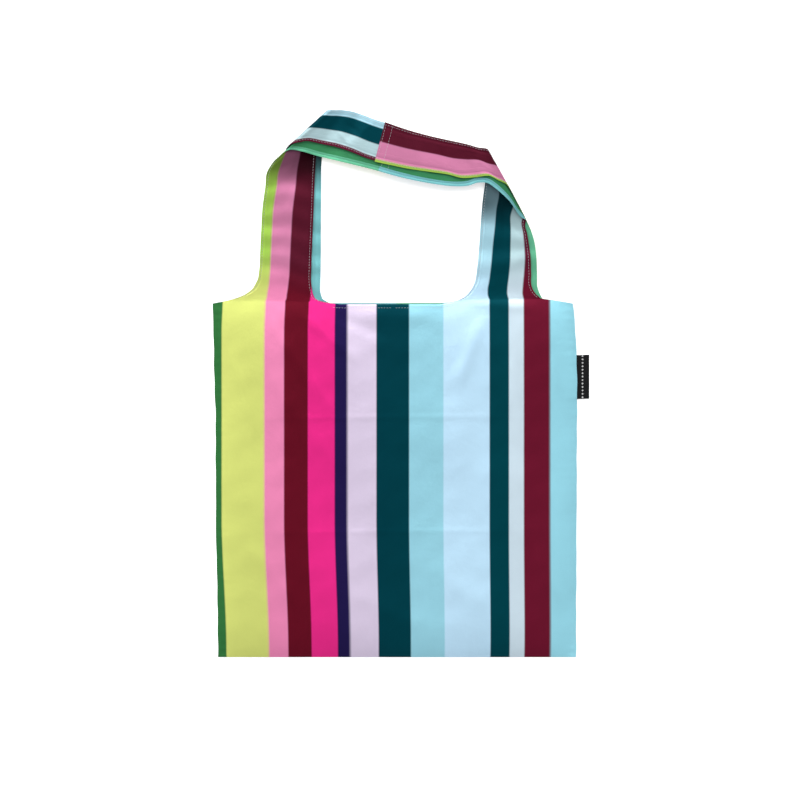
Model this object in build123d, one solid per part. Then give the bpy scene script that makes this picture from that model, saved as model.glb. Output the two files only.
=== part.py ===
from build123d import *
import os
from math import atan2, degrees, hypot

# A foldable shopping bag of printed polyester cloth, lying flat with its front up.
# Two panels are sewn together at the sides and the bottom. Each panel runs up into
# two strap legs, and the legs of one panel are lapped and sewn together at the top.
# Both straps lie together and are folded towards the front at the two upper corners.
#
# Millimetres. X is across the bag, +Y runs up the bag to the handle, +Z is the front.
# The origin is on the underside of the back panel, at the middle of the body.

# Cloth and thread
cloth = 0.5              # thickness of one layer, with its air
thread = 0.3             # height of a row of stitches above the cloth
thread_width = 0.5

# Body
body_half_width = 199.5
body_bottom = -195.5     # Y of the bottom seam
mouth_line = 196.0       # Y of the mouth edge
puff = 8.0               # how far the front panel stands above its seams
seam_lift = 1.0          # height of the front panel's edge at the seams
slope_run = 25.0         # width of the sloping border of the front panel
mouth_left = -72.0       # the mouth opens between the strap legs
mouth_right = 66.0
slit = 0.3               # running gap between pieces that move apart

# Seams and hems
seam_inset = 4.0         # clear space between a seam allowance and the edge
seam_width = 8.5
hem_width = 6.0          # of the hem along the mouth
stitch_inset = 4.3       # from the mouth edge to its row of stitches

# Straps
leg_base = 202.0         # Y where the legs leave the shoulder line
fold_centre_left = 5.0   # height of the centre of the rolled fold, left corner
fold_centre_right = 5.25 # the right half is one cloth higher, for the lap
front_roll = 2.0         # the front strap rolls inside the back strap by this much
lap = 9.5                # overlap of the two strap ends
lap_row_gap = 7.0        # between the two rows of stitches across the lap
front_cross_left = 2 * fold_centre_left - front_roll     # top of the front strap, folded over
front_cross_right = 2 * fold_centre_right - front_roll

# Label
label_start = 201.7
label_reach = 11.5
label_low = 89.5
label_high = 138.0
label_thickness = 1.0
label_lift = 0.1
label_edge_radius = 0.45


def save(node, shape):
    shape.label = node
    export_step(shape, "parts/" + node + ".step")


def layer(points, low, height=cloth):
    """A flat layer of cloth with the outline given, its underside at the height low."""
    return Pos(0, 0, low) * extrude(Polygon(*points, align=None), height)


def block(x_low, x_high, y_low, y_high, z_low, z_high):
    corner = Box(x_high - x_low, y_high - y_low, z_high - z_low, align=(Align.MIN,) * 3)
    return Pos(x_low, y_low, z_low) * corner


def stitch_row(start, end, low):
    """A row of stitches from start to end, lying on cloth whose face is at low."""
    length = hypot(end[0] - start[0], end[1] - start[1])
    turn = degrees(atan2(end[1] - start[1], end[0] - start[0]))
    row = Box(length, thread_width, thread, align=(Align.MIN, Align.CENTER, Align.MIN))
    return Pos(start[0], start[1], low) * Rot(0, 0, turn) * row


def group(solids):
    return Compound(children=solids)


# Body panels

def back_panel():
    """Flat on the table, printed side down."""
    return block(-body_half_width, body_half_width, body_bottom, mouth_line, 0, cloth)


def front_shell():
    """The front panel's raised cloth: a low tray with sloping borders on all four sides."""
    slope = degrees(atan2(slope_run, puff))
    outline = Rectangle(2 * body_half_width, mouth_line - body_bottom)
    middle = (mouth_line + body_bottom) / 2
    solid = Pos(0, middle, seam_lift) * extrude(outline, puff, taper=slope)
    return solid - Pos(0, 0, -cloth) * solid


def front_panel_left():
    shell_top = seam_lift + puff
    keep = block(-body_half_width, mouth_left - slit, body_bottom, mouth_line, 0, shell_top)
    return front_shell() & keep


def front_panel_right():
    shell_top = seam_lift + puff
    keep = block(mouth_right + slit, body_half_width, body_bottom, mouth_line, 0, shell_top)
    return front_shell() & keep


def front_panel_centre():
    """Slopes up from the bottom seam and stays high at the mouth, which stands open."""
    top = seam_lift + puff
    profile = [
        (body_bottom, seam_lift),
        (body_bottom + slope_run, top),
        (mouth_line, top),
        (mouth_line, top - cloth),
        (body_bottom + slope_run, top - cloth),
        (body_bottom + slope_run * cloth / puff, seam_lift),
    ]
    side = Plane.YZ * Polygon(*profile, align=None)
    return Pos(mouth_left, 0, 0) * extrude(side, mouth_right - mouth_left, dir=(1, 0, 0))


# Hems and seams

def front_mouth_hem():
    """The mouth edge turned to the inside: two more layers under the front panel."""
    top = seam_lift + puff - cloth
    low = mouth_line - hem_width
    return block(mouth_left, mouth_right, low, mouth_line, top - 2 * cloth, top)


def front_mouth_stitches():
    row_y = mouth_line - stitch_inset
    return stitch_row((mouth_left, row_y), (mouth_right, row_y), seam_lift + puff)


def back_mouth_hem():
    low = mouth_line - hem_width
    return block(mouth_left, mouth_right, low, mouth_line, cloth, 3 * cloth)


def back_mouth_stitches():
    row_y = mouth_line - stitch_inset
    return stitch_row((mouth_left, row_y), (mouth_right, row_y), 3 * cloth)


def side_seam(side):
    """The seam allowances of both panels, turned to the inside along one side."""
    outer = side * (body_half_width - seam_inset)
    inner = outer - side * seam_width
    low = body_bottom + seam_inset
    high = mouth_line - seam_inset
    return block(min(outer, inner), max(outer, inner), low, high, cloth, 3 * cloth)


def side_seam_stitches(side):
    row_x = side * (body_half_width - seam_inset - seam_width / 2)
    low = (row_x, body_bottom + seam_inset)
    high = (row_x, mouth_line - seam_inset)
    return stitch_row(low, high, 3 * cloth)


def bottom_seam():
    reach = body_half_width - seam_inset - seam_width
    low = body_bottom + seam_inset
    return block(-reach, reach, low, low + seam_width, cloth, 3 * cloth)


def bottom_seam_stitches():
    reach = body_half_width - seam_inset - seam_width
    row_y = body_bottom + seam_inset + seam_width / 2
    return stitch_row((-reach, row_y), (reach, row_y), 3 * cloth)


# Straps. The rolled fold of a corner runs along a slanting line, from the strap's
# outer edge to its inner edge, and the leg and the crosspiece both end on that line.

left_fold_front = ((-137.0, 345.1), (-86.0, 391.7))
left_fold_back = ((-123.6, 357.3), (-76.6, 400.3))
right_fold_front = ((124.0, 312.8), (99.0, 353.2))
right_fold_back = ((127.7, 306.8), (93.5, 362.1))


def fold_corner(fold, centre, radius, side):
    """Half a tube of cloth along the fold line, bulging away from the bag's middle."""
    start, end = fold
    along = Vector(end[0] - start[0], end[1] - start[1], 0)
    outward = along.cross(Vector(0, 0, side))
    frame = Plane(origin=(start[0], start[1], centre), x_dir=outward, z_dir=along)
    ring = Circle(radius) - Circle(radius - cloth)
    half = ring & Rectangle(radius, 2 * radius, align=(Align.MIN, Align.CENTER))
    return extrude(frame * half, along.length)


def front_strap_leg_left():
    outer = [(-178.0, leg_base), (-160.0, 210.0), (-152.5, 228.0), (-149.0, 290.0), (-143.0, 337.0)]
    inner = [(-93.0, 340.0), (-93.4, 226.0), (-90.0, 210.0), (-84.0, leg_base)]
    return layer(outer + list(left_fold_front) + inner, front_roll)


def front_strap_leg_right():
    inner = [(70.0, leg_base), (84.0, 218.0), (89.5, 240.0), (94.5, 300.0)]
    outer = [(139.0, 284.3), (147.0, 264.0), (149.5, 216.0), (154.0, leg_base)]
    fold = [right_fold_front[1], right_fold_front[0]]
    return layer(inner + fold + outer, front_roll)


def back_strap_leg_left():
    outer = [(-168.0, leg_base), (-150.0, 212.0), (-144.0, 230.0), (-140.0, 300.0), (-130.0, 345.0)]
    inner = [(-81.5, 340.0), (-82.3, 222.0), (-79.0, 208.0), (-74.0, leg_base)]
    return layer(outer + list(left_fold_back) + inner, 0)


def back_strap_leg_right():
    inner = [(80.0, leg_base), (93.0, 218.0), (97.5, 240.0), (97.5, 300.0)]
    outer = [(146.0, 286.0), (154.0, 260.0), (155.3, 219.0), (159.0, 206.0), (163.0, leg_base)]
    fold = [right_fold_back[1], right_fold_back[0]]
    return layer(inner + fold + outer, 0)


def front_strap_cross_left():
    lower = [(-110.0, 362.0), (-82.0, 358.0), (-20.0, 342.0)]
    join = [(-20.0 + lap, 340.0), (-8.0 + lap, 378.0)]
    upper = [(-45.0, 396.0), (-70.0, 397.0)]
    start, end = left_fold_front
    return layer([start] + lower + join + upper + [end], front_cross_left - cloth)


def front_strap_cross_right():
    lower = [(-20.0, 341.5), (18.0, 330.4), (63.0, 324.0), (98.0, 327.0)]
    upper = [(60.0, 360.0), (-8.0, 380.5)]
    start, end = right_fold_front
    return layer(lower + [start, end] + upper, front_cross_right - cloth)


def back_strap_cross_left():
    lower = [(-106.0, 369.0), (-81.6, 368.5), (-50.8, 361.8), (-25.5, 352.3)]
    join = [(-25.5 + lap, 349.5), (-12.8 + lap, 391.0)]
    upper = [(-29.7, 399.8), (-45.5, 406.0), (-60.0, 408.5), (-74.0, 406.0)]
    start, end = left_fold_back
    return layer([start] + lower + join + upper + [end], 2 * fold_centre_left - cloth)


def back_strap_cross_right():
    lower = [(-25.5, 352.3), (12.0, 343.0), (71.8, 332.8), (102.4, 334.8)]
    upper = [(89.7, 366.5), (37.4, 378.7), (-12.8, 394.5)]
    start, end = right_fold_back
    return layer(lower + [start, end] + upper, 2 * fold_centre_right - cloth)


def front_strap_join_stitches():
    """The two rows that sew the front strap's ends together, seen from above."""
    low = front_cross_right
    near = stitch_row((-17.5, 343.5), (-7.0, 378.0), low)
    far = stitch_row((-17.5 + lap_row_gap, 341.5), (-7.0 + lap_row_gap, 375.0), low)
    return group([near, far])


def back_strap_join_stitches():
    low = 2 * fold_centre_right
    near = stitch_row((-23.5, 353.5), (-11.5, 392.5), low)
    far = stitch_row((-23.5 + lap_row_gap, 352.0), (-11.5 + lap_row_gap, 390.5), low)
    return group([near, far])


def front_strap_stitches_left():
    low = front_roll + cloth
    outer = stitch_row((-148.5, 232.0), (-143.0, 300.0), low)
    inner = stitch_row((-97.5, 228.0), (-97.0, 335.0), low)
    return group([outer, inner])


def front_strap_stitches_right():
    low = front_roll + cloth
    outer = stitch_row((145.0, 220.0), (142.0, 262.0), low)
    inner = stitch_row((94.0, 244.0), (98.5, 300.0), low)
    return group([outer, inner])


def back_strap_stitches_left():
    leg_row = stitch_row((-86.5, 226.0), (-86.0, 335.0), cloth)
    upper_row = stitch_row((-60.0, 404.0), (-16.0, 390.5), 2 * fold_centre_left)
    return group([leg_row, upper_row])


def back_strap_stitches_right():
    leg_row = stitch_row((151.0, 222.0), (150.0, 258.0), cloth)
    upper_row = stitch_row((-4.0, 388.0), (86.0, 363.5), 2 * fold_centre_right)
    return group([leg_row, upper_row])


# Label

def woven_label():
    """A folded woven tab that stands out of the right side seam."""
    end = label_start + label_reach
    top = label_lift + label_thickness
    tab = block(label_start, end, label_low, label_high, label_lift, top)
    return fillet(tab.edges().filter_by(Axis.Y).group_by(Axis.X)[-1], label_edge_radius)


os.makedirs("parts", exist_ok=True)

save("back_panel", back_panel())
save("front_panel_left", front_panel_left())
save("front_panel_right", front_panel_right())
save("front_panel_centre", front_panel_centre())

save("front_mouth_hem", front_mouth_hem())
save("front_mouth_stitches", front_mouth_stitches())
save("back_mouth_hem", back_mouth_hem())
save("back_mouth_stitches", back_mouth_stitches())

for name, side in (("left", -1), ("right", 1)):
    save("side_seam_" + name, side_seam(side))
    save("side_seam_stitches_" + name, side_seam_stitches(side))
save("bottom_seam", bottom_seam())
save("bottom_seam_stitches", bottom_seam_stitches())

save("front_strap_leg_left", front_strap_leg_left())
save("front_strap_leg_right", front_strap_leg_right())
save("back_strap_leg_left", back_strap_leg_left())
save("back_strap_leg_right", back_strap_leg_right())

front_left_radius = fold_centre_left - front_roll
front_right_radius = fold_centre_right - front_roll
save("front_strap_corner_left", fold_corner(left_fold_front, fold_centre_left, front_left_radius, -1))
save("back_strap_corner_left", fold_corner(left_fold_back, fold_centre_left, fold_centre_left, -1))
save("front_strap_corner_right", fold_corner(right_fold_front, fold_centre_right, front_right_radius, 1))
save("back_strap_corner_right", fold_corner(right_fold_back, fold_centre_right, fold_centre_right, 1))

save("front_strap_cross_left", front_strap_cross_left())
save("front_strap_cross_right", front_strap_cross_right())
save("back_strap_cross_left", back_strap_cross_left())
save("back_strap_cross_right", back_strap_cross_right())

save("front_strap_join_stitches", front_strap_join_stitches())
save("back_strap_join_stitches", back_strap_join_stitches())
save("front_strap_stitches_left", front_strap_stitches_left())
save("front_strap_stitches_right", front_strap_stitches_right())
save("back_strap_stitches_left", back_strap_stitches_left())
save("back_strap_stitches_right", back_strap_stitches_right())

save("woven_label", woven_label())
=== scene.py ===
import math
import bpy
import numpy as np
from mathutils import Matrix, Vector


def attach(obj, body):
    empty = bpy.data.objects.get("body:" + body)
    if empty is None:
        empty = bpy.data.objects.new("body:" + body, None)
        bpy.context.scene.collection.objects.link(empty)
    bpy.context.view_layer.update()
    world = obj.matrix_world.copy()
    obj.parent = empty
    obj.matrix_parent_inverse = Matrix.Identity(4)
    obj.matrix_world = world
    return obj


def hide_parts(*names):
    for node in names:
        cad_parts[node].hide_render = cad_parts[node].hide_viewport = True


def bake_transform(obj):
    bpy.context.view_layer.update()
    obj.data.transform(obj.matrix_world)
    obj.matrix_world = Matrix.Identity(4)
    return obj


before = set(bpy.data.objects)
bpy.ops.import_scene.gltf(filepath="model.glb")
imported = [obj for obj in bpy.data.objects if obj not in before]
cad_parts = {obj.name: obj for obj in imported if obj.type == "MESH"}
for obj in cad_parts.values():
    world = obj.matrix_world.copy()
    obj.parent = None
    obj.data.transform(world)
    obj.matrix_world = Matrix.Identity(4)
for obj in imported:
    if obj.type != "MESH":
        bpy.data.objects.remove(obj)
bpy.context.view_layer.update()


# ---- Table, light and camera --------------------------------------------------
# The bag lies on a bright white table. Two broad soft lights stand beyond the handle, the
# room fills the shadows, and the camera looks straight down from a dark place overhead.

view_centre = (0.0039, 0.0884)
view_height = 2.21
camera_data = bpy.data.cameras.new("camera")
camera_data.lens = 90
camera_data.sensor_width = 36
camera = bpy.data.objects.new("camera", camera_data)
camera.location = (*view_centre, view_height)
bpy.context.scene.collection.objects.link(camera)
bpy.context.scene.camera = camera
bpy.context.scene.view_settings.view_transform = "Standard"

for name, energy, spread, direction in (
    ("low_light", 3.3, 72, (-0.38, 1.0, 0.58)),
    ("high_light", 0.7, 64, (-0.16, 0.6, 1.0)),
):
    light_data = bpy.data.lights.new(name, "SUN")
    light_data.energy = energy
    light_data.angle = math.radians(spread)
    light = bpy.data.objects.new(name, light_data)
    light.rotation_mode = "QUATERNION"
    light.rotation_quaternion = Vector(direction).to_track_quat("Z", "Y")
    bpy.context.scene.collection.objects.link(light)


class Wire:
    """An output socket. Arithmetic on it adds Math nodes to its tree."""

    def __init__(self, paint, socket):
        self.paint = paint
        self.socket = socket

    def math(self, operation, first, second=0.0):
        return self.paint.node("ShaderNodeMath", {"operation": operation}, {0: first, 1: second})

    def __add__(self, other):
        return self.math("ADD", self, other)

    def __radd__(self, other):
        return self.math("ADD", other, self)

    def __sub__(self, other):
        return self.math("SUBTRACT", self, other)

    def __rsub__(self, other):
        return self.math("SUBTRACT", other, self)

    def __mul__(self, other):
        return self.math("MULTIPLY", self, other)

    def __rmul__(self, other):
        return self.math("MULTIPLY", other, self)

    def __truediv__(self, other):
        return self.math("DIVIDE", self, other)

    def __rtruediv__(self, other):
        return self.math("DIVIDE", other, self)

    def __abs__(self):
        return self.math("ABSOLUTE", self)

    def sine(self):
        return self.math("SINE", self)

    def ping_pong(self, reach):
        return self.math("PINGPONG", self, reach)

    def below(self, limit):
        return self.math("LESS_THAN", self, limit)


class Paint:
    """The nodes of a material or of the room's world."""

    def __init__(self, owner):
        self.owner = owner
        owner.use_nodes = True
        self.tree = owner.node_tree
        self.tree.nodes.clear()

    def node(self, kind, settings, sockets, output=0):
        """A node, its settings made before its sockets. The output asked for is returned."""
        made = self.tree.nodes.new(kind)
        for name, value in settings.items():
            if name == "stops":
                self.fill_ramp(made.color_ramp, value)
            else:
                setattr(made, name, value)
        for name, value in sockets.items():
            if isinstance(value, Wire):
                self.tree.links.new(value.socket, made.inputs[name])
            else:
                made.inputs[name].default_value = value
        return Wire(self, made.outputs[output]) if made.outputs else None

    def fill_ramp(self, ramp, stops):
        while len(ramp.elements) < len(stops):
            ramp.elements.new(1.0)
        for element, (place, colour) in zip(ramp.elements, stops):
            element.position = place
            element.color = colour

    def mix(self, kind, factor, first, second):
        """Two colours mixed, multiplied or added."""
        settings = {"data_type": "RGBA", "blend_type": kind}
        return self.node("ShaderNodeMix", settings, {0: factor, 6: first, 7: second}, 2)

    def dim(self, colour, depth):
        """A colour made darker or lighter by a number that varies."""
        grey = self.node("ShaderNodeCombineXYZ", {}, {0: depth, 1: depth, 2: depth})
        return self.mix("MULTIPLY", 1.0, colour, grey)

    def noise(self, place, scale, detail=2.0):
        return self.node("ShaderNodeTexNoise", {}, {"Vector": place, "Scale": scale, "Detail": detail})

    def bump(self, height, distance):
        sockets = {"Height": height, "Distance": distance, "Strength": 1.0}
        return self.node("ShaderNodeBump", {}, sockets)

    def finish(self, **sockets):
        """The material, with its shader's sockets named with _ for each space."""
        named = {name.replace("_", " "): value for name, value in sockets.items()}
        shader = self.node("ShaderNodeBsdfPrincipled", {}, named)
        self.node("ShaderNodeOutputMaterial", {}, {"Surface": shader})
        return self.owner


room_white = (0.97, 0.98, 1.0, 1)
overhead_dark = (0.05, 0.05, 0.05, 1)
room_strength = 0.68
room = Paint(bpy.data.worlds.new("room"))
room_direction = room.node("ShaderNodeTexCoord", {}, {})
room_height = room.node("ShaderNodeSeparateXYZ", {}, {0: room_direction}, 2)
room_stops = [(0.88, room_white), (0.97, overhead_dark)]
room_colour = room.node("ShaderNodeValToRGB", {"stops": room_stops}, {0: room_height})
room_glow = room.node("ShaderNodeBackground", {}, {"Color": room_colour, "Strength": room_strength})
room.node("ShaderNodeOutputWorld", {}, {"Surface": room_glow})
bpy.context.scene.world = room.owner

floor_size = 14.0
floor_mesh = bpy.data.meshes.new("table_top")
corners = [(-floor_size, -floor_size, 0), (floor_size, -floor_size, 0)]
corners += [(floor_size, floor_size, 0), (-floor_size, floor_size, 0)]
floor_mesh.from_pydata(corners, [], [(0, 1, 2, 3)])
table_top = bpy.data.objects.new("table_top", floor_mesh)
bpy.context.scene.collection.objects.link(table_top)
table_paint = Paint(bpy.data.materials.new("white_table"))
floor_mesh.materials.append(table_paint.finish(
    Base_Color=(0.93, 0.93, 0.93, 1), Roughness=0.8, Specular_IOR_Level=0.1,
    Emission_Color=(1, 1, 1, 1), Emission_Strength=0.38,
))


# ---- Printed polyester ----------------------------------------------------------
# Thin satin-faced polyester, printed with lengthwise stripes on its right side. The
# wrong side is green, and narrow hems turned onto it show a mint or an aqua strip.
# Colours are screen values, and lengths on the cloth's flat pattern are in millimetres.

light_level = 1.2            # how much brighter than 1 the light makes white
stripe_colours = [
    (51, 114, 60), (216, 224, 122), (242, 140, 185), (104, 16, 35), (240, 46, 140),
    (34, 25, 75), (225, 210, 234), (0, 61, 72), (156, 215, 231), (197, 233, 255),
    (0, 65, 75), (210, 229, 240), (110, 22, 46), (158, 224, 240),
]
stripe_edges = [-193.0, -145.9, -123.8, -97.2, -68.5, -54.1, -22.1, 14.4, 51.4, 102.2, 124.3, 139.8, 169.1]
pattern_width = 420.0
ink_spread = 0.25            # how far the ink runs across the line between two stripes
wrong_side_green = (62, 140, 92)
aqua_strip = (122, 192, 196)
mint_strip = (104, 187, 148)
hem_width = 4.6
thread_inset = 2.4
weave_pitch = 0.42
strap_start, strap_full = 205.0, 245.0    # along the pattern, where the straps' painted shade and painted sheen come in
lime_shade_share = 0.75
strap_lime_painted_shade = (0.6, 0.92, 0.33, 1)    # painted shade: the lime is painted greener and darker on the straps
strap_painted_shade = (0.74, 0.84, 0.79, 1)       # painted shade: all their colours are a little darker
strap_painted_sheen = (0, 0.004, 0.009, 1)        # and a painted bluish sheen shows on the dark ones
shade_depth = 0.84           # how much darker a leg is where the crosspiece shades it
satin_gleam = 0.36           # the share of light that the yarns mirror in their own colour


def cloth_colour(*screen_values):
    """The paint that shows the given screen values, from 0 to 255, under these lights."""
    parts = []
    for value in screen_values:
        part = value / 255
        part = part / 12.92 if part <= 0.04045 else ((part + 0.055) / 1.055) ** 2.4
        parts.append(part / light_level)
    return (*parts, 1.0)


def printed_stripes(paint, across, along):
    """The stripes across the pattern, with painted shade and a painted sheen on the straps."""
    stops = [(0.0, cloth_colour(*stripe_colours[0]))]
    for line, before, after in zip(stripe_edges, stripe_colours, stripe_colours[1:]):
        middle = line / pattern_width + 0.5
        half = ink_spread / pattern_width
        stops += [(middle - half, cloth_colour(*before)), (middle + half, cloth_colour(*after))]
    colour = paint.node("ShaderNodeValToRGB", {"stops": stops}, {0: across / pattern_width + 0.5})
    reach = {"Value": along, "From Min": strap_start, "From Max": strap_full}
    on_strap = paint.node("ShaderNodeMapRange", {}, reach)
    # painted shade turns the lime on the straps greener
    greener = on_strap * across.below(stripe_edges[1]) * lime_shade_share
    colour = paint.mix("MULTIPLY", greener, colour, strap_lime_painted_shade)
    # painted shade on the straps
    colour = paint.mix("MULTIPLY", on_strap, colour, strap_painted_shade)
    # painted sheen on the straps
    return paint.mix("ADD", on_strap, colour, strap_painted_sheen)


def plain_wrong_side(paint, across, edge):
    """Green, with the hem's strip mint on the lime half and aqua on the other."""
    strip = paint.mix("MIX", across.below(0.0), cloth_colour(*aqua_strip), cloth_colour(*mint_strip))
    return paint.mix("MIX", edge.below(hem_width), cloth_colour(*wrong_side_green), strip)


def cloth_paint(name, printed):
    """The cloth's right or wrong side, laid out on its flat pattern."""
    paint = Paint(bpy.data.materials.new(name))
    place = paint.node("ShaderNodeAttribute", {"attribute_name": "cut"}, {}, 1)
    across, along, edge = [
        paint.node("ShaderNodeSeparateXYZ", {}, {0: place}, part) for part in range(3)
    ]
    if printed:
        colour = printed_stripes(paint, across, along)
    else:
        colour = plain_wrong_side(paint, across, edge)
    fold_shade = paint.node("ShaderNodeAttribute", {"attribute_name": "fold_shade"}, {}, 2)
    uneven = paint.noise(place, 0.018, 3.0)
    warp = (across * (2 * math.pi / weave_pitch)).sine()
    weft = (along * (2 * math.pi / weave_pitch)).sine()
    weave = warp * weft
    # random tone and weave, times the painted shade of the folds
    depth = (0.9 + 0.2 * uneven + 0.03 * weave) * (1 - shade_depth * fold_shade)
    crinkle = paint.noise(place, 0.16)
    from_thread = edge - thread_inset
    seam_dip = 1 / (1 + from_thread * from_thread * 2.2)
    hem_step = edge.below(hem_width)
    height = weave * 0.012 + crinkle * 0.16 - seam_dip * 0.3 + hem_step * 0.12
    return paint.finish(
        Base_Color=paint.dim(colour, depth),
        Metallic=satin_gleam,
        Roughness=0.38 + 0.1 * paint.noise(place, 0.05),
        Specular_IOR_Level=0.03,
        Normal=paint.bump(height, 0.001),
    )


print_side = cloth_paint("striped_print", True)
wrong_side = cloth_paint("wrong_side", False)


# ---- Front cloth ----------------------------------------------------------------
# One cloth runs from the bottom seam up into both front strap legs and on to the
# lap at the top. Its mouth edge is a narrow hem, and it lies over the back cloth.

mm = 0.001
body_bottom = -195.5
body_half = 199.5
mouth_left = -72.0
mouth_middle = -3.0
mouth_right = 66.0
front_edge_height = 0.72
front_puff = 7.0
cloth_thickness = 0.35
hem_thickness = 0.3          # what the turned layer of a hem adds


def ticks(places, steps):
    """Places with even spacing of about the given step between each and the next."""
    runs = []
    for low, high, step in zip(places, places[1:], steps):
        count = max(1, round((high - low) / step))
        runs.append(np.linspace(low, high, count + 1)[:-1])
    return np.concatenate([*runs, [places[-1]]])


def smooth(low, high, value):
    """An even rise from 0 to 1 between two values."""
    t = np.clip((value - low) / (high - low), 0, 1)
    return t * t * (3 - 2 * t)


def waves(x, y, seed, lengths):
    """An uneven surface between about -1 and 1, made of crossing waves of these lengths."""
    chance = np.random.default_rng(seed)
    total = 0.0
    for length in lengths:
        angle, phase = chance.uniform(0, 2 * np.pi, 2)
        run = x * np.cos(angle) + y * np.sin(angle)
        total = total + np.sin(2 * np.pi * run / length + phase)
    return total / math.sqrt(len(lengths))


def crease(x, y, start, end, width, height):
    """A ridge, or a valley if height is negative, that fades at both ends of its line."""
    run = math.dist(start, end)
    ux, uy = (end[0] - start[0]) / run, (end[1] - start[1]) / run
    along = (x - start[0]) * ux + (y - start[1]) * uy
    across = (y - start[1]) * ux - (x - start[0]) * uy
    fade = smooth(0, 0.35 * run, along) * smooth(0, 0.35 * run, run - along)
    return height * fade * np.exp(-((across / width) ** 2))


front_creases = [            # start, end, half width and height; the first three are press folds
    ((-196, 68), (196, 71), 2.2, 0.28), ((-196, -58), (196, -55), 2.2, 0.25),
    ((-70, 40), (-66, -160), 2.0, 0.22),
    ((-150, 190), (-60, 60), 7, 1.1), ((-120, 196), (-30, 120), 6, 0.8),
    ((-95, 192), (10, 150), 7, -0.7), ((-140, 120), (-70, 10), 9, 1.0),
    ((-185, 150), (-150, 40), 7, 0.9), ((-60, 186), (60, 178), 9, 0.7),
    ((75, 207), (165, 203), 6, -0.9), ((70, 196), (170, 190), 7, 0.8),
    ((100, 190), (60, 90), 8, 0.9), ((160, 185), (185, 80), 7, 1.0),
    ((120, 150), (150, 20), 9, 0.8), ((-170, -60), (-100, -150), 10, 0.9),
    ((20, -80), (120, -160), 12, 0.8), ((-60, -120), (40, -170), 10, 0.8),
    ((-20, 120), (30, 10), 12, 0.7), ((150, -60), (185, -150), 8, 0.8),
]


def side_lines(y):
    """X of the body's left and right edges, which the seams pull slightly uneven."""
    left = np.interp(y, [-190, -140, -60, 70, 110, 150, 190],
                     [-197.2, -197.4, -199.3, -199.7, -201, -201.9, -202.8])
    right = np.interp(y, [-190, -60, 110, 150, 185, 195],
                      [198.3, 198.8, 199.5, 198.3, 196.2, 195.0])
    wobble = 0.2 * waves(0 * y, y, 3, [19, 31, 47])
    return left + wobble, right + wobble


def body_place(x, y):
    """Where a point of the body pattern lies: the edges shift, the middle stays."""
    left, right = side_lines(y)
    reach = 22.0
    near_left = np.exp(-(x + body_half) / reach)
    near_right = np.exp(-(body_half - x) / reach)
    return x + (left + body_half) * near_left + (right - body_half) * near_right


def print_lean(x, y):
    """How far the print leans to the right near the bottom and at the left strap's root."""
    reach = np.interp(x, [-200, -146, -97, -50, 0, 100, 200], [5.2, 5.0, 4.2, 3.2, 2.2, 1.1, 0.5])
    return reach * smooth(-40, -185, y) + 1.0 * smooth(165, 199, y) * smooth(-60, -80, x)


def side_distance(x, y):
    """How far a place is from the nearer side seam."""
    left, right = side_lines(y)
    return np.maximum(np.minimum(x - left, right - x), 0)


def front_height(x, y, top):
    """The front puffs up off the back, comes down at its edges, and holds soft folds."""
    in_side = side_distance(x, y)
    from_bottom = np.maximum(y - body_bottom, 0)
    rise = (1 - np.exp(-in_side / 15)) * (1 - np.exp(-from_bottom / 15))
    opening = np.interp(x, [-200, -184, -130, -72, -48, -3, 42, 66, 110, 160, 200],
                        [0.12, 0.2, 0.24, 0.28, 0.38, 0.42, 0.38, 0.28, 0.25, 0.2, 0.12])
    drop = 1 - (1 - opening) * np.exp(-np.maximum(top - y, 0) / 28)
    height = front_edge_height + front_puff * rise * drop
    folds = 0.4 * waves(x, y, 11, [95, 140, 180, 120]) + 0.1 * waves(x, y, 12, [34, 45, 27])
    for start, end, width, lift in front_creases:
        folds = folds + crease(x, y, start, end, width, lift)
    pucker = 0.5 * np.exp(-in_side / 6) * waves(0 * x, y, 5, [9, 13, 17])
    pucker = pucker + 0.3 * np.exp(-from_bottom / 7) * waves(x, 0 * y, 6, [10, 14, 19])
    held = smooth(0, 6, np.minimum(in_side, from_bottom))
    label_lift = 1.0 * np.exp(-(body_half - x) / 9) * smooth(84, 92, y) * smooth(143, 135, y)
    return height + (folds * (0.35 + 0.65 * rise) + pucker) * held + label_lift


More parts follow.
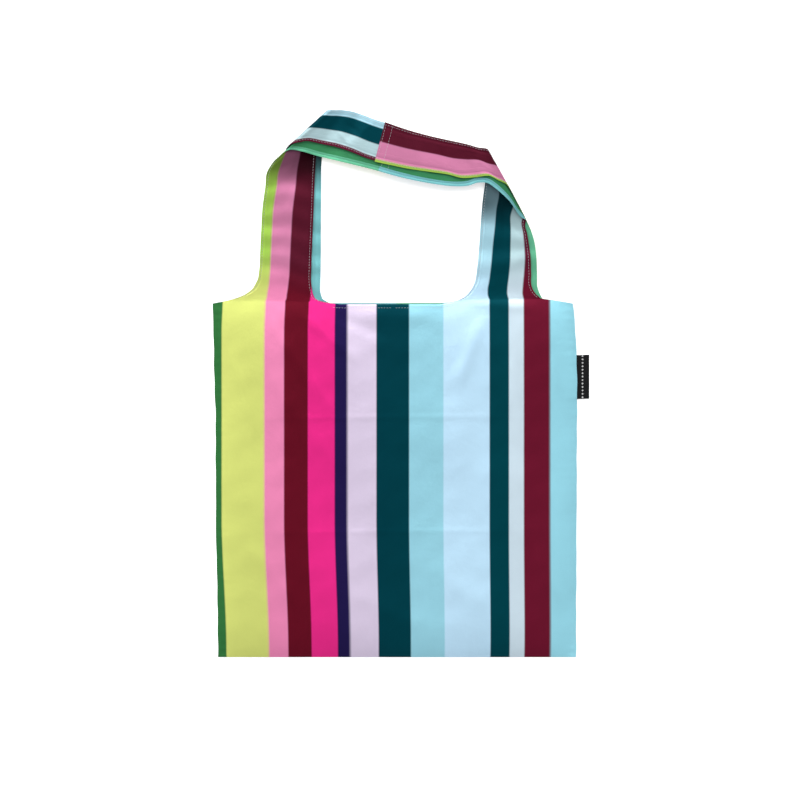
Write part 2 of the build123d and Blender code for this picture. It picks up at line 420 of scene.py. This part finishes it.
class Cloth:
    """One whole cloth, made of grids that are sewn together where their points meet."""

    def __init__(self, print_up):
        self.print_up = print_up
        self.points, self.cuts, self.faces, self.owners = [], [], [], []
        self.count = 0

    def grid(self, points, cut, owners):
        """points is (rows, columns, 3). cut is (rows, columns, 3), or 4 where it also says how
        much a place lies in the shade of a fold. owners names the piece of each column gap."""
        rows, columns = points.shape[:2]
        index = np.arange(rows * columns).reshape(rows, columns) + self.count
        self.points.append(points.reshape(-1, 3))
        shaded = np.zeros((*cut.shape[:2], 4))
        shaded[..., :cut.shape[-1]] = cut
        self.cuts.append(shaded.reshape(-1, 4))
        quads = np.stack([index[:-1, :-1], index[:-1, 1:], index[1:, 1:], index[1:, :-1]], -1)
        self.faces.append(quads.reshape(-1, 4))
        self.owners.append(np.tile(np.array(owners), rows - 1))
        self.count += rows * columns

    def join(self):
        points = np.concatenate(self.points)
        key = np.round(points, 3)
        _, first, back = np.unique(key, axis=0, return_index=True, return_inverse=True)
        back = back.reshape(-1)
        self.spots = points[first]
        self.pattern = np.concatenate(self.cuts)[first]
        self.quads = back[np.concatenate(self.faces)]
        self.owner = np.concatenate(self.owners)
        a, b, c, d = (self.spots[self.quads[:, k]] for k in range(4))
        normal = np.cross(c - a, d - b)
        self.normals = np.zeros_like(self.spots)
        for k in range(4):
            np.add.at(self.normals, self.quads[:, k], normal)
        self.normals /= np.linalg.norm(self.normals, axis=1)[:, None] + 1e-12

    def piece(self, name, owners):
        """The named part as a thin closed mesh with a right side, a wrong side and rims."""
        quads = self.quads[np.isin(self.owner, owners)]
        used, quads = np.unique(quads, return_inverse=True)
        quads = quads.reshape(-1, 4)
        spots, normals, pattern = self.spots[used], self.normals[used], self.pattern[used]
        hem = (pattern[:, 2:3] < hem_width) * hem_thickness
        up, down = (0.0, hem) if self.print_up else (hem, 0.0)
        upper = spots + normals * (cloth_thickness / 2 + up)
        lower = spots - normals * (cloth_thickness / 2 + down)
        total = len(used)
        sides = np.concatenate([quads[:, [k, (k + 1) % 4]] for k in range(4)])
        code = np.sort(sides, axis=1)
        _, where, times = np.unique(code, axis=0, return_index=True, return_counts=True)
        rim = sides[where[times == 1]]
        rims = np.stack([rim[:, 1], rim[:, 0], rim[:, 0] + total, rim[:, 1] + total], -1)
        faces = np.concatenate([quads, quads[:, ::-1] + total, rims])
        kinds = np.concatenate([
            np.full(len(quads), 0 if self.print_up else 1),
            np.full(len(quads), 1 if self.print_up else 0),
            np.zeros(len(rims)),
        ])
        mesh = bpy.data.meshes.new(name)
        mesh.from_pydata((np.concatenate([upper, lower]) * mm).tolist(), [], faces.tolist())
        mesh.materials.append(print_side)
        mesh.materials.append(wrong_side)
        mesh.polygons.foreach_set("material_index", kinds.astype(np.int32))
        mesh.polygons.foreach_set("use_smooth", np.ones(len(faces), bool))
        cut = mesh.attributes.new("cut", "FLOAT_VECTOR", "POINT")
        both = np.concatenate([pattern, pattern]).astype(np.float32)
        cut.data.foreach_set("vector", both[:, :3].ravel())
        fold_shade = mesh.attributes.new("fold_shade", "FLOAT", "POINT")
        fold_shade.data.foreach_set("value", both[:, 3].ravel())
        mesh.normals_split_custom_set_from_vertices(np.concatenate([normals, -normals]).tolist())
        mesh.update()
        made = bpy.data.objects.new(name, mesh)
        bpy.context.scene.collection.objects.link(made)
        return made


far_from_hem = 40.0
mouth_seam_shift = 1.9       # the mouth's hem is narrower on the pattern than the straps' hems


def body_grid(columns, rows, top_line, height, mirrored):
    """The body part of a cloth. mirrored is for the back, whose print faces the table."""
    x, share = np.meshgrid(columns, rows)
    top = np.interp(x, *top_line)
    y = body_bottom + share * (top - body_bottom)
    place_x = body_place(x, y)
    points = np.stack([place_x, y, height(place_x, y, top)], -1)
    pattern_x = -place_x if mirrored else place_x - print_lean(place_x, y)
    hem_distance = np.where((x > mouth_left) & (x < mouth_right), top - y, far_from_hem)
    hem_distance = np.minimum(hem_distance + mouth_seam_shift, far_from_hem)
    cut = np.stack([pattern_x, y, hem_distance], -1)
    return points, cut


fold_rise = 4.4              # how far the leg lifts towards its fold
fold_rise_reach = 17.0


class Fold:
    """A rolled fold: it starts on a line of the flat leg and turns the strap back over itself."""

    def __init__(self, start, end, radius, low):
        self.start = np.array(start, float)
        line = np.array(end, float) - self.start
        line = line / np.linalg.norm(line)
        self.out = np.array([abs(line[1]) * (1 if start[0] > 0 else -1), abs(line[0])])
        self.radius = radius
        self.low = low

    def unfold(self, point):
        """Where a point of the crosspiece would lie if the strap were rolled out flat."""
        spot = np.array(point[:2], float)
        beyond = (spot - self.start) @ self.out
        spot = spot + (math.pi * self.radius - 2 * beyond) * self.out
        return (*spot, point[2])

    def wrap(self, flat):
        beyond = (flat - self.start) @ self.out
        foot = flat - beyond[..., None] * self.out
        turn = np.clip(beyond / self.radius, 0, math.pi)
        over = np.maximum(beyond - math.pi * self.radius, 0)
        reach = np.where(beyond < 0, beyond, self.radius * np.sin(turn) - over)
        spot = foot + reach[..., None] * self.out
        rise = fold_rise * np.exp(np.minimum(beyond, 0) / fold_rise_reach) * (1 - turn / math.pi)
        height = self.low + self.radius * (1 - np.cos(turn)) + rise
        return spot, height, over


def smooth_line(knots, values, at):
    """Values given at the knots, joined by a smooth curve and read at other places."""
    slopes = np.gradient(values, knots, axis=0)
    gap = np.clip(np.searchsorted(knots, at, side="right") - 1, 0, len(knots) - 2)
    step = (knots[gap + 1] - knots[gap])[:, None]
    t = ((at - knots[gap]) / step[:, 0])[:, None]
    start, end = values[gap], values[gap + 1]
    slope_in, slope_out = slopes[gap], slopes[gap + 1]
    return (
        (2 * t**3 - 3 * t**2 + 1) * start + (t**3 - 2 * t**2 + t) * step * slope_in
        + (3 * t**2 - 2 * t**3) * end + (t**3 - t**2) * step * slope_out
    )


def strap_edges(left_edge, right_edge, fold):
    """Both edges of a strap rolled out flat, as x, y and pattern x at even places along it."""
    flat_edges = []
    for edge in (left_edge, right_edge):
        line = list(edge["leg"]) + [fold.unfold(point) for point in edge["over"]]
        flat_edges.append(np.array(line, float))
    left, right = flat_edges
    middle = (left[:, :2] + right[:, :2]) / 2
    knots = np.concatenate([[0], np.cumsum(np.linalg.norm(np.diff(middle, axis=0), axis=1))])
    at = ticks([0, knots[-1]], [strap_row_step])
    both = smooth_line(knots, np.concatenate([left, right], axis=1), at)
    return at, both[:, :3], both[:, 3:]


def strap_ripple(side, run, beyond, over, spot, seed):
    """Ripples across a strap, a flutter at its edges, and the creases of its crosspiece."""
    ripple = 0.3 * waves(side, run, seed, [42, 60, 85])
    ripple = ripple + 0.6 * waves(0.4 * side, run, seed + 3, [21, 27, 35])
    ripple = ripple + 0.12 * np.exp(-side / 5) * waves(0 * run, run, seed + 1, [11, 16, 23])
    near_fold = np.exp(-np.abs(beyond - 20) / 26)
    ripple = ripple + 0.4 * near_fold * waves(side, run, seed + 2, [17, 24, 31])
    for crease_start, crease_end, crease_width, lift in strap_creases:
        mark = crease(spot[..., 0], spot[..., 1], crease_start, crease_end, crease_width, lift)
        ripple = ripple + mark * smooth(0, 4, over)
    return ripple


def strap_grid(body, base_cut, left_edge, right_edge, fold, sag, seed, hem, side_name):
    """A strap half, from the body's top row to the lap. Each edge is a list of
    (x, y, pattern x), first on the leg and then, under "over", on the crosspiece."""
    base = body[-1]
    base_slope = (body[-1, :, 2] - body[-2, :, 2]) / (body[-1, :, 1] - body[-2, :, 1])
    at, left, right = strap_edges(left_edge, right_edge, fold)
    share = (base[:, 0] - base[0, 0]) / (base[-1, 0] - base[0, 0])
    flat = left[:, None, :] * (1 - share[None, :, None]) + right[:, None, :] * share[None, :, None]
    start = (1 - smooth(0, root_reach, at))[:, None]
    plane = flat[..., :2] + start[..., None] * (base[None, :, :2] - flat[:1, :, :2])
    spot, height, over = fold.wrap(plane)
    width = np.linalg.norm(left[:, :2] - right[:, :2], axis=1)[:, None]
    side = np.minimum(share, 1 - share)[None, :] * width
    run = at[:, None] + 0 * side
    to_end = at[-1] - run
    beyond = (plane - fold.start) @ fold.out
    roll = math.pi * fold.radius

    height = height + start * (base[None, :, 2] - fold.low)
    height = height + 0.45 * base_slope * at[:, None] * np.exp(-at[:, None] / 9)
    crosspiece_share = np.clip(over / (over[-1].min() - lap_flat), 0, 1)
    height = height - sag * np.sin(math.pi * crosspiece_share)
    height = height + base_ridges[side_name] * np.exp(-(((run - 38) / 13) ** 2))
    height = height + lap_lifts[side_name] * smooth(lap_flat + 16, lap_flat, to_end)
    calm = 1 - 0.85 * smooth(-14, 0, beyond) * smooth(roll + 14, roll, beyond)
    calm = calm * (1 - 0.45 * smooth(0, 20, over))
    calm = calm * smooth(4, 40, run) * smooth(lap_flat, lap_flat + 30, to_end)
    height = height + calm * strap_ripple(side, run, beyond, over, spot, seed)
    points = np.concatenate([spot, height[..., None]], -1)
    points[0] = base

    # Painted shade: on each leg below the crosspiece, and in a band along the roll of the fold.
    outer = share if fold.start[0] > 0 else 1 - share
    shade = smooth(*leg_shades[side_name], plane[..., 1]) * smooth(0.6 * roll, 0, beyond)
    shade = shade * (1 - 0.3 * outer) + 0.3 * np.exp(-(((beyond - 0.7 * roll) / 6) ** 2))
    pattern_x = flat[..., 2] + start * (base_cut[None, :, 0] - flat[:1, :, 2])
    cut = np.stack([pattern_x, body_top + run, side * hem_width / hem, shade], -1)
    return points, cut


strap_row_step = 1.7
root_reach = 26.0            # how far up a strap the shape of the body's top row reaches
body_top = 195.0
strap_creases = [            # on the crosspiece: start, end, half width and height
    ((-68, 389), (-44, 360), 2.2, 1.0), ((-60, 396), (-22, 368), 3.0, -0.8),
    ((-40, 388), (-28, 350), 3.0, 0.6), ((12, 382), (24, 336), 3.0, 0.6),
    ((48, 372), (60, 330), 3.5, -0.6), ((70, 372), (92, 334), 3.5, 0.8),
]
lap_flat = 16.0              # the lapped and sewn ends of a strap stay flat
lap_lifts = {"left": -0.3, "right": 0.25}
base_ridges = {"left": 0.8, "right": 1.3}             # a soft ridge across each leg near the body
leg_shades = {"left": (319, 348), "right": (268, 308)}  # where the crosspiece shades each leg
left_fold_line = ((-137.0, 345.1), (-86.0, 391.8))
right_fold_line = ((127.0, 306.8), (96.0, 362.1))

front_columns = ticks([-199.5, -187.5, -184, mouth_left, mouth_middle, mouth_right, 160, 187.5, 199.5],
                      [1.2, 1.75, 2.5, 2.5, 2.5, 2.2, 2.5, 1.2])
body_rows = ticks([0, 14, 372, 391], [1.2, 2.5, 1.2]) / 391
front_top = ([-199.5, -184, -128, -72, -62, 48, 66, 113, 160, 199.5],
             [195, 198.2, 197.5, 195, 194.2, 194.3, 197.6, 199.5, 200.5, 195])

front_left_fold = Fold(*left_fold_line, 3.0, 2.2)
front_right_fold = Fold(*right_fold_line, 3.25, 2.25)
front_left_outer = {
    "leg": [(-184, 198.2, -184), (-169.6, 203, -171), (-160, 209, -162.5), (-154, 218.6, -158.6),
            (-151.6, 230.5, -157.6), (-150.4, 252, -157.5), (-149.3, 275, -157.5), (-147.8, 300, -157.5),
            (-144.4, 324.9, -158.3), (-143, 338, -158.8), (-136, 351.5, -159)],
    "over": [(-114.4, 363.9, -156), (-102.7, 361.8, -156), (-87.8, 357.5, -156), (-66.9, 352.3, -155),
             (-45.5, 347, -155), (-24.4, 341.7, -155), (-10, 337.5, -155)],
}
front_left_inner = {
    "leg": [(-72, 195, -72), (-82.7, 197.3, -84), (-88.6, 199.7, -90.2), (-91.6, 203.9, -94),
            (-93.9, 215, -98.2), (-93.9, 238, -99.5), (-92.9, 265, -99.8), (-91.6, 295, -100.4),
            (-90.6, 322, -102), (-89.6, 345, -103), (-88.3, 368, -103.5)],
    "over": [(-79, 396, -103), (-70, 397, -103), (-58, 396.8, -103), (-47, 395, -104),
             (-33, 390.5, -105), (-12, 382, -106), (0, 377.5, -106)],
}
front_right_inner = {
    "leg": [(66, 197.6, 66), (74.6, 201.8, 76.5), (80, 207, 82.5), (85.9, 216.8, 86.4),
            (89.5, 237, 87.2), (91.6, 262, 86), (93.2, 286, 83.4), (95, 308, 81.5),
            (97.5, 326, 81.2), (98.6, 340, 82), (99.2, 352, 83.5)],
    "over": [(92, 354.5, 87), (80, 356.5, 89), (66, 359, 90), (50, 362.5, 90),
             (33, 367, 91), (14, 372.5, 91), (0, 377, 92), (-8, 380.5, 92)],
}
front_right_outer = {
    "leg": [(160, 200.5, 160), (153.4, 206.6, 154.5), (149.6, 214.3, 150.2), (148.6, 228, 148.2),
            (147.9, 244.9, 146.7), (146, 260, 146), (143.8, 272, 145.6), (141.6, 282, 145.6)],
    "over": [(137.9, 289, 146.5), (123.6, 308.2, 146.5), (107.5, 322.6, 146), (98.6, 327.7, 145),
             (89.7, 327.7, 145), (79.4, 324.5, 144.5), (62.9, 323.8, 144), (43.6, 325.8, 143),
             (18.2, 330.4, 142), (-7.2, 336.6, 141), (-20, 340.5, 140)],
}

front = Cloth(print_up=True)
points, cut = body_grid(front_columns, body_rows, front_top, front_height, False)
middles = (front_columns[1:] + front_columns[:-1]) / 2
owners = np.select(
    [middles < mouth_left, middles < mouth_middle, middles < mouth_right],
    ["left", "mouth_left", "mouth_right"], "right")
front.grid(points, cut, owners)
front_straps = {}
for name, low, high, left_edge, right_edge, fold, seed in (
    ("left", -184, mouth_left, front_left_outer, front_left_inner, front_left_fold, 21),
    ("right", mouth_right, 160, front_right_inner, front_right_outer, front_right_fold, 31),
):
    inside = (front_columns > low - 0.01) & (front_columns < high + 0.01)
    front_straps[name] = strap_grid(points[:, inside], cut[-1, inside], left_edge, right_edge,
                                    fold, 2.0, seed, 5.5, name)
    front.grid(*front_straps[name], [name] * (inside.sum() - 1))
front.join()

front_cloth_left = front.piece("front_cloth_left", ["left"])
front_cloth_right = front.piece("front_cloth_right", ["right"])
front_mouth_left = front.piece("front_mouth_left", ["mouth_left"])
front_mouth_right = front.piece("front_mouth_right", ["mouth_right"])
for piece in (front_cloth_left, front_cloth_right):
    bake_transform(piece)
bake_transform(front_mouth_left)
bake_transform(front_mouth_right)
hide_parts("front_panel_left", "front_strap_leg_left",
            "front_strap_corner_left", "front_strap_cross_left")
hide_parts("front_panel_right", "front_strap_leg_right",
            "front_strap_corner_right", "front_strap_cross_right")
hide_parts("front_panel_centre")
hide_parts("front_mouth_hem")


# ---- Back cloth -----------------------------------------------------------------
# The back is cut like the front and lies under it with its print to the table. Its
# straps are folded over together with the front's, so their print shows at the top.

back_edge_height = 0.3


def back_height(x, y, top):
    """The back rests on the table, and only its folds lift it."""
    in_side = side_distance(x, y)
    folds = 0.12 + 0.1 * waves(x, y, 41, [60, 90, 130])
    return back_edge_height + folds * smooth(0, 12, in_side) * smooth(0, 12, top - y)


back_columns = ticks([-199.5, -187.5, -176, -74, 66, 163, 187.5, 199.5], [1.2, 2.5, 2.3, 2.6, 2.3, 2.5, 1.2])
back_top = ([-199.5, -176, -125, -74, 50, 66, 115, 163, 199.5],
            [195, 198.4, 197.3, 195.4, 195.6, 197, 198.5, 198.5, 195])
back_left_fold = Fold(*left_fold_line, 5.0, 0.3)
back_right_fold = Fold(*right_fold_line, 5.25, 0.3)
back_left_outer = {
    "leg": [(-176, 198.4, 176), (-162, 203, 163), (-152, 209, 154), (-146, 218, 149.5),
            (-143.5, 230, 147.5), (-142.5, 252, 147), (-141.5, 275, 147), (-140, 300, 146.5),
            (-136, 324, 146), (-131, 343, 145.5), (-125, 356, 145)],
    "over": [(-107, 371.8, 145.5), (-96.4, 373.2, 145.5), (-81.6, 370.2, 145.3), (-66.9, 367.1, 145.2),
             (-50.8, 361.8, 145.2), (-35, 355.4, 145), (-25.5, 352.3, 145), (-16.5, 349.3, 145)],
}
back_left_inner = {
    "leg": [(-74, 195.4, 74), (-80.9, 199.5, 81.5), (-82.9, 203.3, 84), (-84.2, 208, 86),
            (-84, 224, 87.5), (-83.6, 246, 88), (-83.5, 270, 88.5), (-83.4, 296, 89),
            (-83.2, 322, 90), (-83, 346, 91), (-81.5, 368, 92), (-78.5, 390, 93)],
    "over": [(-70, 407.3, 93.5), (-60.3, 407.4, 94), (-48, 405.6, 94.4), (-36, 401.7, 94.4),
             (-24, 397, 94.4), (-13.8, 393.7, 94.4), (-4.5, 391.5, 94.4)],
}
back_right_inner = {
    "leg": [(66, 197, -66), (79, 202.5, -79), (87, 208, -88), (92, 215, -93), (96, 230, -96),
            (97.5, 250, -97), (98, 270, -97.5), (98.5, 290, -98), (98.5, 310, -98.5),
            (98, 330, -99), (96.5, 348, -99.4)],
    "over": [(89.7, 366.2, -99.8), (80, 369, -99.8), (69.3, 371.7, -99.8), (54, 375, -99.8),
             (37.4, 378.7, -99.8), (24.7, 382, -99.8), (11.9, 385.6, -99.8), (0, 389.5, -99.8),
             (-12.5, 394, -99.8)],
}
back_right_outer = {
    "leg": [(163, 198.5, -163), (158.6, 206.6, -158), (155.8, 214, -155), (155.3, 225, -154),
            (154.4, 244.9, -153.5), (152.6, 260.1, -153), (149, 274, -152.5), (143.8, 287, -152),
            (138, 300, -151), (132.5, 311.5, -150), (128.5, 324, -149.5)],
    "over": [(111.4, 330.4, -149), (102.4, 334.8, -149), (87.2, 333.5, -149), (71.8, 332.8, -149),
             (56.6, 336.6, -149), (37.5, 339.2, -149), (11.9, 343, -149), (-7.2, 346.9, -149),
             (-24, 350.5, -149)],
}

back = Cloth(print_up=False)
points, cut = body_grid(back_columns, body_rows, back_top, back_height, True)
back.grid(points, cut, ["back"] * (len(back_columns) - 1))
back_straps = {}
for name, low, high, left_edge, right_edge, fold, seed in (
    ("left", -176, -74, back_left_outer, back_left_inner, back_left_fold, 21),
    ("right", 66, 163, back_right_inner, back_right_outer, back_right_fold, 31),
):
    inside = (back_columns > low - 0.01) & (back_columns < high + 0.01)
    back_straps[name] = strap_grid(points[:, inside], cut[-1, inside], left_edge, right_edge,
                                   fold, 1.6, seed, 10.5, name)
    back.grid(*back_straps[name], ["back"] * (inside.sum() - 1))
back.join()
back_cloth = back.piece("back_cloth", ["back"])
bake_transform(back_cloth)
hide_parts("back_panel", "back_mouth_hem",
            "back_strap_leg_left", "back_strap_corner_left", "back_strap_cross_left",
            "back_strap_leg_right", "back_strap_corner_right", "back_strap_cross_right")


# ---- Thread ---------------------------------------------------------------------
# Pale spun polyester thread in a lockstitch, about eight stitches to 25 mm. Each
# stitch shows on both sides of the cloth and sinks into it at its two ends.

stitch_pitch = 3.1
stitch_length = 2.4
thread_half_width = 0.2

thread_paint = Paint(bpy.data.materials.new("pale_thread"))
thread_place = thread_paint.node("ShaderNodeTexCoord", {}, {}, 3)
thread_twist = thread_paint.noise(thread_place, 2600.0)
thread_tone = thread_paint.noise(thread_place, 90.0)
thread_finish = thread_paint.finish(
    Base_Color=thread_paint.mix("MIX", thread_tone, (0.34, 0.35, 0.37, 1), (0.52, 0.53, 0.55, 1)),
    Roughness=0.5 + 0.2 * thread_twist,
    Specular_IOR_Level=0.3,
    Normal=thread_paint.bump(thread_twist, 0.0001),
)


def grid_line(points, distance, from_left):
    """A line at a distance from one edge of a grid, and the cloth's normals on it."""
    down, across = np.gradient(points, axis=0), np.gradient(points, axis=1)
    normals = np.cross(across, down)
    normals /= np.linalg.norm(normals, axis=2)[..., None] + 1e-12
    if not from_left:
        points, normals = points[:, ::-1], normals[:, ::-1]
    reach = np.cumsum(np.linalg.norm(np.diff(points, axis=1), axis=2), axis=1)
    reach = np.concatenate([np.zeros((len(points), 1)), reach], axis=1)
    rows = []
    for places, directions, far in zip(points, normals, reach):
        rows.append([np.interp(distance, far, column) for column in (*places.T, *directions.T)])
    rows = np.array(rows)
    return rows[:, :3], rows[:, 3:]


def line_values(values, far, at):
    """Values known at some distances along a line, read at others."""
    return np.stack([np.interp(at, far, column) for column in values.T], -1)


def stitch_frames(points, normals):
    """The middle of each stitch on a line, and its directions along, up and sideways."""
    far = np.concatenate([[0], np.cumsum(np.linalg.norm(np.diff(points, axis=0), axis=1))])
    middles = np.arange(stitch_pitch, far[-1] - stitch_pitch, stitch_pitch)
    along = line_values(points, far, middles + 1) - line_values(points, far, middles - 1)
    along /= np.linalg.norm(along, axis=1)[:, None]
    up = line_values(normals, far, middles)
    up -= (up * along).sum(axis=1)[:, None] * along
    up /= np.linalg.norm(up, axis=1)[:, None]
    return zip(line_values(points, far, middles), along, up, np.cross(up, along))


def stitch_piece(name, lines, half_height=0.5):
    """Rows of stitches as one piece. Each line is points and normals in the cloth."""
    ring_places = [-1, -0.72, 0, 0.72, 1]
    ring_sizes = [0.3, 0.85, 1, 0.85, 0.3]
    sides = 6
    vertices, faces = [], []
    for points, normals in lines:
        for spot, along, up, side in stitch_frames(points, normals):
            start = len(vertices)
            for place, size in zip(ring_places, ring_sizes):
                for corner in range(sides):
                    turn = corner * 2 * math.pi / sides
                    offset = math.cos(turn) * thread_half_width * side + math.sin(turn) * half_height * up
                    offset = along * place * stitch_length / 2 + size * offset
                    vertices.append((spot + offset) * mm)
            for ring in range(len(ring_places) - 1):
                low = start + sides * ring
                for k in range(sides):
                    after = (k + 1) % sides
                    faces.append((low + k, low + after, low + sides + after, low + sides + k))
            end = start + sides * (len(ring_places) - 1)
            faces.append(tuple(range(start + sides - 1, start - 1, -1)))
            faces.append(tuple(range(end, end + sides)))
    mesh = bpy.data.meshes.new(name)
    mesh.from_pydata([tuple(v) for v in vertices], [], faces)
    mesh.materials.append(thread_finish)
    mesh.polygons.foreach_set("use_smooth", np.ones(len(faces), bool))
    mesh.update()
    made = bpy.data.objects.new(name, mesh)
    bpy.context.scene.collection.objects.link(made)
    return made


lap_thread_insets = (1.8, 9.4)
strap_thread = {}
for panel, straps in (("front", front_straps), ("back", back_straps)):
    for side in ("left", "right"):
        grid = straps[side][0]
        rows = [grid_line(grid, thread_inset, True), grid_line(grid, thread_inset, False)]
        piece = stitch_piece(f"{panel}_strap_thread_{side}", rows)
        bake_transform(piece)
        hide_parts(f"{panel}_strap_stitches_{side}")
        strap_thread[panel, side] = piece
    lap = straps["right"][0].swapaxes(0, 1)
    rows = [grid_line(lap, inset, False) for inset in lap_thread_insets]
    piece = stitch_piece(f"{panel}_lap_thread", rows, 0.62)
    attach(piece, "handle")
    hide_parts(f"{panel}_strap_join_stitches")
    strap_thread[panel, "lap"] = piece

mouth_thread_inset = 4.3
band_rows = 60               # enough of the body's top rows to find the line of the stitches
front_points = body_grid(front_columns, body_rows, front_top, front_height, False)[0]
back_points = body_grid(back_columns, body_rows, back_top, back_height, True)[0]
for side, low, high in (("left", mouth_left, mouth_middle), ("right", mouth_middle, mouth_right)):
    inside = (front_columns > low - 0.01) & (front_columns < high + 0.01)
    band = front_points[-band_rows:, inside].swapaxes(0, 1)
    piece = stitch_piece(f"front_mouth_thread_{side}", [grid_line(band, mouth_thread_inset, False)])
    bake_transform(piece)
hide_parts("front_mouth_stitches")
inside = (back_columns > mouth_left - 3) & (back_columns < mouth_right + 1)
band = back_points[-band_rows:, inside].swapaxes(0, 1)
back_mouth_thread = stitch_piece("back_mouth_thread", [grid_line(band, mouth_thread_inset, False)])
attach(back_mouth_thread, "bag")
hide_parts("back_mouth_stitches")


# ---- Seam allowances ------------------------------------------------------------
# Inside the bag the edges of both cloths are sewn together and lie flat on the back:
# two layers 8.5 mm wide along the sides and the bottom, with one row of stitches.

allowance_width = 8.5
allowance_inset = 4.0
allowance_low = 0.95
allowance_end = 7.0
allowance_gap = 0.42
allowance_hem_distance = 20.0   # the strips are plain, far from any hem


def allowance(name, start, end, inward, node):
    """A double strip from start to end, its width turned inward, with its stitches."""
    start, end, inward = (np.array(v, float) for v in (start, end, inward))
    shorter = (end - start) / np.linalg.norm(end - start) * allowance_end
    start, end = start + shorter, end - shorter
    far_steps, width_steps = ticks([0, 1], [1 / 130]), ticks([0, allowance_width], [1.2])
    far, width = np.meshgrid(far_steps, width_steps, indexing="ij")
    spot = start + far[..., None] * (end - start) + width[..., None] * inward
    if inward[0] <= 0:
        spot = spot[:, ::-1]
    ruffle = 0.07 * waves(spot[..., 0], spot[..., 1], 71, [13, 21, 34])
    strip = Cloth(print_up=False)
    for level in range(2):
        height = allowance_low + level * allowance_gap + ruffle
        points = np.concatenate([spot, height[..., None]], -1)
        cut = np.stack([spot[..., 0], spot[..., 1], 0 * far + allowance_hem_distance], -1)
        strip.grid(points, cut, ["strip"] * (points.shape[1] - 1))
    strip.join()
    piece = strip.piece(name, ["strip"])
    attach(piece, "bag")
    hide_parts(node)
    middle = points - [0, 0, allowance_gap / 2]
    thread = stitch_piece(name + "_thread", [grid_line(middle, allowance_width / 2, True)], 0.6)
    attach(thread, "bag")
    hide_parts(node.replace("seam", "seam_stitches"))
    return piece, thread


seam_low = body_bottom + allowance_inset
seam_high = 184.0
seam_x = body_half - allowance_inset - 3.0
bottom_reach = seam_x - allowance_width - 1
left_allowance = allowance("seam_allowance_left", (-seam_x + 1, seam_low), (-seam_x, seam_high),
                           (1, 0), "side_seam_left")
right_allowance = allowance("seam_allowance_right", (seam_x, seam_low), (seam_x, seam_high),
                            (-1, 0), "side_seam_right")
bottom_allowance = allowance("seam_allowance_bottom", (-bottom_reach, seam_low), (bottom_reach, seam_low),
                             (0, 1), "bottom_seam")


# ---- Woven label ----------------------------------------------------------------
# A black damask-woven loop of tape, sewn into the right side seam. It is plain but for
# a woven row of small pale diamonds down its middle.

label_low_y, label_high_y = 89.5, 138.0
label_in, label_out = 198.4, 213.0
label_turn = 0.42
label_middle_z = 0.72
label_lean = 0.035

rib_pitch, pick_pitch = 0.45, 0.6
diamond_reach, diamond_half = 1.9, 1.15   # half the diamonds' pitch, and half a diamond's width
diamond_line = 7.4           # from the seam, along the tape

label_paint = Paint(bpy.data.materials.new("black_woven_tape"))
tape_place = label_paint.node("ShaderNodeAttribute", {"attribute_name": "cut"}, {}, 1)
tape_across, tape_along, tape_face = [
    label_paint.node("ShaderNodeSeparateXYZ", {}, {0: tape_place}, part) for part in range(3)
]
ribs = (tape_across * (2 * math.pi / rib_pitch)).sine()
picks = (tape_along * (2 * math.pi / pick_pitch)).sine()
from_diamond = tape_along.ping_pong(diamond_reach) + abs(tape_across - diamond_line)
diamonds = from_diamond.below(diamond_half) * tape_face
tape_colour = label_paint.mix("MIX", diamonds, (0.006, 0.006, 0.007, 1), (0.5, 0.5, 0.5, 1))
label_finish = label_paint.finish(
    Base_Color=label_paint.dim(tape_colour, 0.75 + 0.5 * label_paint.noise(tape_place, 0.35)),
    Roughness=0.62 + 0.06 * ribs,
    Specular_IOR_Level=0.1,
    Normal=label_paint.bump(ribs * 0.04 + picks * 0.03 + diamonds * 0.05, 0.001),
)

flat_steps = [200.5, 202.5, 204.5, 206.5, 208.5, 210.5, 212.0]
profile = [(x, label_middle_z + label_turn) for x in (label_in, *flat_steps)]
for step in range(1, 8):
    turn = math.pi / 2 - step * math.pi / 8
    fold_x = label_out - 0.6 + 0.6 * math.cos(turn)
    profile.append((fold_x, label_middle_z + label_turn * math.sin(turn)))
profile += [(x, label_middle_z - label_turn) for x in (*flat_steps[::-1], label_in)]
profile = np.array(profile)
tape_length = np.concatenate([[0], np.cumsum(np.linalg.norm(np.diff(profile, axis=0), axis=1))])
rows = ticks([label_low_y, label_high_y], [0.9])
run_x, run_y = np.meshgrid(np.arange(len(profile)), rows)
tape_x = profile[run_x, 0] - 0.3
tape_y = run_y + label_lean * (profile[run_x, 0] - 200)
tape_z = profile[run_x, 1] + 0.12 * waves(tape_x, run_y, 81, [26, 41]) * smooth(200, 206, profile[run_x, 0])
tape_face_up = (run_x < len(profile) // 2) * 1.0
label = Cloth(print_up=True)
label_points = np.stack([tape_x, tape_y, tape_z], -1)
label_cut = np.stack([tape_length[run_x], run_y, tape_face_up], -1)
label.grid(label_points, label_cut, ["tape"] * (len(profile) - 1))
label.join()
woven_tab = label.piece("woven_tab", ["tape"])
woven_tab.data.materials.clear()
woven_tab.data.materials.append(label_finish)
woven_tab.data.materials.append(label_finish)
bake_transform(woven_tab)
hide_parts("woven_label")


# ---- Back pieces ----------------------------------------------------------------
# Each cloth was cut flat in one piece. Here the back's thread, the seam allowances
# and the label are gathered in one list.

back_pieces = [strap_thread["back", "left"], strap_thread["back", "right"], strap_thread["back", "lap"]]
back_pieces += [back_mouth_thread, *left_allowance, *right_allowance, *bottom_allowance, woven_tab]
